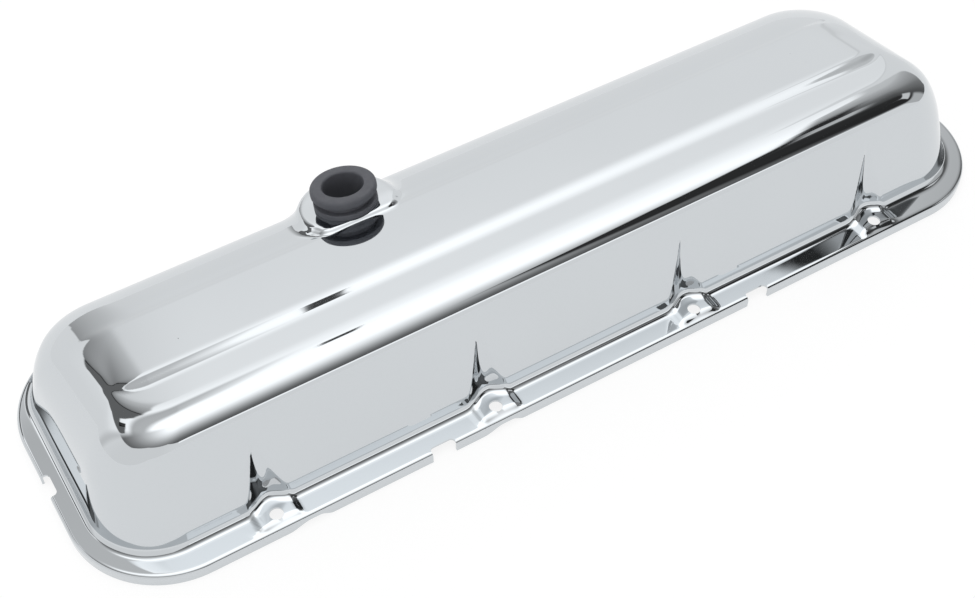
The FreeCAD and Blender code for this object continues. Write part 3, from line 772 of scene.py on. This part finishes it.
def rubber_finish():
    """Moulded rubber, matt, slightly uneven and finely pitted."""
    material = new_material("grommet_rubber")
    tinted(material, noise_on(material, RUBBER_CLOUDS), *RUBBER_COLOURS)
    varied(material, "Roughness", noise_on(material, RUBBER_GRAIN), *RUBBER_ROUGHNESS)
    rippled(material, noise_on(material, RUBBER_PITS), RUBBER_PIT_DEPTH)
    return material


def baffle_finish():
    """Bare rolled steel with fine scratches along the plate."""
    material = new_material("baffle_steel", Metallic=1.0)
    scratches = noise_on(material, BAFFLE_SCRATCHES, stretch=BAFFLE_STRETCH)
    tinted(material, scratches, *BAFFLE_COLOURS)
    varied(material, "Roughness", scratches, *BAFFLE_ROUGHNESS)
    rippled(material, scratches, BAFFLE_SCRATCH_DEPTH)
    return material


def make_cover():
    """The pressed sheet, chromed outside and plain inside, in place of its node."""
    points, faces, material = cover_mesh()
    cover = mesh_object("valve_cover_sheet", points, faces)
    cover.data.materials.append(chrome_finish())
    cover.data.materials.append(inside_finish())
    cover.data.polygons.foreach_set("material_index", material)
    pierce(cover)
    smooth_shaded(cover)
    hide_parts("valve_cover")
    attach(cover, "root")


def make_grommet():
    """The rubber grommet in the breather hole, in place of its node."""
    points, faces = grommet_mesh()
    grommet = mesh_object("breather_grommet_rubber", points, faces)
    grommet.data.materials.append(rubber_finish())
    smooth_shaded(grommet)
    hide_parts("breather_grommet")
    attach(grommet, "root")


def dress_baffle():
    """The baffle keeps its node's mesh and gets its finish."""
    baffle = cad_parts["oil_baffle"]
    baffle.data.materials.clear()
    baffle.data.materials.append(baffle_finish())


# Studio: azimuths run from the rear (0) to the right (90) and the front (180), elevations upward
DOME_RADIUS = 3.0
DOME_STEP = 0.5
DOME_LOW = -1.5
FLOOR_HALF = 3.1
FLOOR_COLOUR = (0.22, 0.22, 0.22, 1.0)
FLOOR_GLOW = 0.83

# A patch is its first and last azimuth, then its lower and upper elevation, each with the width
# of its soft edge, or None on a side where it is open

# Light by elevation in a wide soft box over the rear half and in a dark room over the front half
REAR_LIGHT = (
    (0, 12, 20, 25, 33, 40, 48, 55, 62, 90),
    (0.98, 0.99, 1.03, 1.11, 1.2, 1.32, 1.45, 1.6, 1.68, 1.68),
)
FRONT_LIGHT = (
    (0, 20, 29, 39, 48, 57, 65, 72, 80, 90),
    (0.12, 0.12, 0.13, 0.2, 0.35, 0.58, 0.87, 1.2, 1.6, 1.68),
)

# Gain by azimuth of the soft box's dimmer left part, and the patch it holds in
REAR_GAIN = ((-60, 4, 8, 12, 15, 20), (0.42, 0.42, 0.5, 0.72, 0.95, 1.0))
REAR_GAIN_BAND = (None, None, (49.0, 6.0), (64.0, 8.0))

# Front half: beyond an azimuth on either side, and beyond a nearer one on the left
FRONT_START = (100.0, 60.0)
LEFT_START = (-60.0, 20.0)

# Boards that stand round the table: upper edge by azimuth, a dimmer part and a brighter one
BOARD_EDGE = (
    (-180, -160, -120, -95, -57, 46, 50, 56, 63, 72, 80, 86, 96, 110, 127, 137, 145, 157, 180),
    (28, 42, 44, 36, 37, 40, 31, 26, 18, 9, 3, -7, -20, -9, 13, 25, 26, 28, 28),
)
BOARD_EDGE_SOFT = 1.2
BOARD_LIGHT = 0.98
BOARD_DIP = 0.05
BOARD_DIP_MIDDLE = -120.0
BOARD_DIP_HALF = (45.0, 30.0)
BOARD_BOOST = 0.45
BOARD_BOOST_PATCH = ((142.0, 10.0), None, (21.5, 1.0), None)

# Dark wall on the right: its place, upper edge and shade by azimuth, a lighter foot, a pale patch
RIGHT_WALL = ((45.0, 2.0), (144.0, 12.0), None, None)
RIGHT_TOP = (
    (46, 50, 54, 57, 62, 66, 70, 75, 80, 90, 97, 115, 130, 145),
    (34, 38.5, 42.5, 47.5, 50.5, 52.4, 53.6, 55.4, 56.4, 57.9, 59.2, 61, 60.5, 60),
)
RIGHT_TOP_SOFT = 1.2
RIGHT_SHADE = (
    (46, 56, 60, 66, 72, 78, 90, 104, 116, 134, 140, 146),
    (0.8, 0.75, 0.62, 0.5, 0.4, 0.25, 0.13, 0.07, 0.03, 0.03, 0.14, 0.2),
)
FOOT_LIGHT = 0.6
FOOT_PATCH = ((98.0, 8.0), None, None, (28.0, 6.0))
PALE_LIGHT = 0.8
PALE_PATCH = ((96.0, 6.0), (119.0, 4.0), (34.0, 3.0), (45.0, 2.0))

# Black flag under the wall's upper edge, deeper towards the front, with a slit of light in it
FLAG_LIGHT = 0.035
FLAG_LOWEST = 45.0
FLAG_DEPTH = (14.0, 3.0)
FLAG_START = (104.0, 8.0)
BRIM_DEPTH = (3.0, 1.0)
BRIM_START = (70.0, 10.0)
SLIT_LIGHT = 0.55
SLIT_PATCH = ((86.0, 2.0), (99.0, 3.0), (53.6, 1.0), (56.5, 0.6))

# Dark opening behind the left end: lower and upper edge and shade by azimuth, and a post in it
OPENING_FOOT = (
    (-60, -57, -32, -23, -13, -9, -8, -4, 1, 4),
    (40, 37, 30, 22, 20, 14, -5, -9, -12, -14),
)
OPENING_TOP = (
    (-60, -47, -44, -34, -31, -24, -14, -5, 0, 4),
    (43, 45, 39.4, 39.4, 43.5, 47.5, 47.5, 44, 38, 34),
)
OPENING_FOOT_SOFT = 1.0
OPENING_TOP_SOFT = 2.0
OPENING_SIDES = ((-59.0, 1.5), (3.0, 8.0), None, None)
OPENING_SHADE = ((-14, -11, 6), (0.17, 0.34, 0.95))
POST_AZIMUTH = -13.5
POST_HALF = (0.6, 0.6)
POST_DARKNESS = 0.85

# Black window in the boards behind the left end
WINDOW_PATCH = ((-46.5, 0.8), (-39.6, 0.8), (38.5, 0.8), (44.9, 0.8))
WINDOW_DARKNESS = 0.96

# Dark stand over the rear; its azimuth shifts with the elevation above its middle
STAND_PATCH = ((20.6, 0.6), (24.6, 0.6), (56.3, 0.5), (60.8, 0.5))
STAND_LEAN = 0.6
STAND_MIDDLE = 59.0
STAND_DARKNESS = 0.95


def above(value, limit, soft):
    """1 above a limit and 0 below it, with a soft edge of that width."""
    return smooth_step(limit - soft / 2, limit + soft / 2, value)


def below(value, limit, soft):
    """1 below a limit and 0 above it, with a soft edge of that width."""
    return above(-value, -limit, soft)


def patch(azimuth, elevation, limits):
    """1 inside a patch of directions and 0 outside it; a limit of None leaves that side open."""
    first, last, low, high = limits
    inside = 1.0
    for test, value, limit in (
        (above, azimuth, first),
        (below, azimuth, last),
        (above, elevation, low),
        (below, elevation, high),
    ):
        if limit:
            inside = inside * test(value, *limit)
    return inside


def mixed(light, other, share):
    """The first light where the share is 0 and the other where it is 1."""
    return light * (1.0 - share) + other * share


def right_wall(azimuth, elevation):
    """Light of the dark wall on the right, with its foot, pale patch, flag and slit."""
    light = np.interp(azimuth, *RIGHT_SHADE)
    light = mixed(light, FOOT_LIGHT, patch(azimuth, elevation, FOOT_PATCH))
    light = mixed(light, PALE_LIGHT, patch(azimuth, elevation, PALE_PATCH))
    top = np.interp(azimuth, *RIGHT_TOP)
    depth, soft = FLAG_DEPTH
    flag = above(elevation, np.maximum(FLAG_LOWEST, top - depth), soft) * above(azimuth, *FLAG_START)
    depth, soft = BRIM_DEPTH
    brim = above(elevation, top - depth, soft) * above(azimuth, *BRIM_START)
    light = mixed(light, FLAG_LIGHT, np.maximum(flag, brim))
    return light + SLIT_LIGHT * patch(azimuth, elevation, SLIT_PATCH)


def board_light(azimuth, elevation):
    """Light of the pale boards, with their dimmer and their brighter part."""
    dip = below(np.abs(azimuth - BOARD_DIP_MIDDLE), *BOARD_DIP_HALF)
    return BOARD_LIGHT - BOARD_DIP * dip + BOARD_BOOST * patch(azimuth, elevation, BOARD_BOOST_PATCH)


def with_openings(light, azimuth, elevation):
    """The light with the opening behind the left end, the window and the stand darkened."""
    opening = above(elevation, np.interp(azimuth, *OPENING_FOOT), OPENING_FOOT_SOFT)
    opening = opening * below(elevation, np.interp(azimuth, *OPENING_TOP), OPENING_TOP_SOFT)
    opening = opening * patch(azimuth, elevation, OPENING_SIDES)
    post = below(np.abs(azimuth - POST_AZIMUTH), *POST_HALF)
    shade = np.interp(azimuth, *OPENING_SHADE) * (1.0 - POST_DARKNESS * post)
    light = mixed(light, shade, opening)
    light = light * (1.0 - WINDOW_DARKNESS * patch(azimuth, elevation, WINDOW_PATCH))
    leaning = azimuth - STAND_LEAN * (elevation - STAND_MIDDLE)
    return light * (1.0 - STAND_DARKNESS * patch(leaning, elevation, STAND_PATCH))


def studio_light(azimuth, elevation):
    """Brightness of the studio in a direction: boards, soft box, dark room and its openings."""
    gain = mixed(1.0, np.interp(azimuth, *REAR_GAIN), patch(azimuth, elevation, REAR_GAIN_BAND))
    rear = np.interp(elevation, *REAR_LIGHT) * gain
    front = np.interp(elevation, *FRONT_LIGHT)
    front_side = np.maximum(above(np.abs(azimuth), *FRONT_START), below(azimuth, *LEFT_START))
    light = mixed(rear, front, front_side)
    wall_side = patch(azimuth, elevation, RIGHT_WALL)
    wall = mixed(front, right_wall(azimuth, elevation), wall_side)
    under_top = below(elevation, np.interp(azimuth, *RIGHT_TOP), RIGHT_TOP_SOFT)
    light = mixed(light, wall, wall_side * under_top)
    over_board = above(elevation, np.interp(azimuth, *BOARD_EDGE), BOARD_EDGE_SOFT)
    boarded = mixed(board_light(azimuth, elevation), light, over_board)
    light = mixed(light, boarded, np.maximum(wall_side, front_side))
    return with_openings(light, azimuth, elevation)


def glow_material():
    """Plain emission whose strength is the studio light kept on the dome's points."""
    material = bpy.data.materials.new("studio_glow")
    material.use_nodes = True
    nodes = material.node_tree.nodes
    links = material.node_tree.links
    nodes.clear()
    painted = nodes.new("ShaderNodeVertexColor")
    painted.layer_name = "light"
    glow = nodes.new("ShaderNodeEmission")
    output = nodes.new("ShaderNodeOutputMaterial")
    links.new(painted.outputs["Color"], glow.inputs["Color"])
    links.new(glow.outputs["Emission"], output.inputs["Surface"])
    material.cycles.emission_sampling = "NONE"
    return material


def make_dome():
    """The studio as a dome round the table, brighter and darker by direction."""
    azimuth = np.arange(-180.0, 180.0, DOME_STEP)
    elevation = np.arange(DOME_LOW, 90.0, DOME_STEP)
    around, up = np.meshgrid(azimuth, elevation)
    level = np.radians(up)
    turn = np.radians(around)
    points = points_at(np.cos(level) * np.sin(turn), np.cos(level) * np.cos(turn), np.sin(level))
    rows, columns = around.shape
    faces = grid_faces(rows, columns).tolist()
    faces.append([(rows - 1) * columns + i for i in range(columns)])
    dome = mesh_object("studio_dome", points.reshape(-1, 3) * DOME_RADIUS, faces)
    light = studio_light(around.ravel(), up.ravel())
    painted = dome.data.color_attributes.new("light", "FLOAT_COLOR", "POINT")
    colours = np.stack([light, light, light, np.ones(len(light))], axis=-1)
    painted.data.foreach_set("color", colours.ravel())
    dome.data.materials.append(glow_material())


def floor_material():
    """A pale sweep that keeps the object's shadow, brightened where it is seen or mirrored."""
    material = new_material(
        "pale_floor",
        Base_Color=FLOOR_COLOUR,
        Roughness=1.0,
        Specular_IOR_Level=0.0,
        Emission_Color=(1.0, 1.0, 1.0, 1.0),
    )
    nodes = material.node_tree.nodes
    links = material.node_tree.links
    path = nodes.new("ShaderNodeLightPath")
    seen = nodes.new("ShaderNodeMath")
    seen.operation = "ADD"
    links.new(path.outputs["Is Camera Ray"], seen.inputs[0])
    links.new(path.outputs["Is Glossy Ray"], seen.inputs[1])
    through = nodes.new("ShaderNodeMath")
    through.operation = "ADD"
    through.use_clamp = True
    links.new(seen.outputs["Value"], through.inputs[0])
    links.new(path.outputs["Is Transmission Ray"], through.inputs[1])
    glow = nodes.new("ShaderNodeMath")
    glow.operation = "MULTIPLY"
    glow.inputs[1].default_value = FLOOR_GLOW
    links.new(through.outputs["Value"], glow.inputs[0])
    links.new(glow.outputs["Value"], nodes["Principled BSDF"].inputs["Emission Strength"])
    return material


def make_floor():
    points = np.array([(-1, -1, 0), (1, -1, 0), (1, 1, 0), (-1, 1, 0)], float) * FLOOR_HALF
    floor = mesh_object("floor", points, [(0, 1, 2, 3)])
    floor.data.materials.append(floor_material())


def make_world():
    world = bpy.data.worlds.new("studio")
    bpy.context.scene.world = world
    world.use_nodes = True
    world.node_tree.nodes["Background"].inputs["Color"].default_value = (1.0, 1.0, 1.0, 1.0)
    world.node_tree.nodes["Background"].inputs["Strength"].default_value = 1.0


# Camera in metres and millimetres of film
CAMERA_PLACE = Vector((-0.3069, -0.4735, 0.6590))
CAMERA_AIM = Vector((0.33, 0.547, -0.769))
CAMERA_LENS = 58.66
CAMERA_SENSOR = 36.0


def make_camera():
    camera = bpy.data.objects.new("camera", bpy.data.cameras.new("camera"))
    camera.data.lens = CAMERA_LENS
    camera.data.sensor_width = CAMERA_SENSOR
    camera.location = CAMERA_PLACE
    camera.rotation_euler = CAMERA_AIM.to_track_quat("-Z", "Y").to_euler()
    bpy.context.scene.collection.objects.link(camera)
    bpy.context.scene.camera = camera


make_cover()
make_grommet()
dress_baffle()
make_floor()
make_dome()
make_world()
make_camera()
bpy.context.scene.view_settings.view_transform = "Standard"
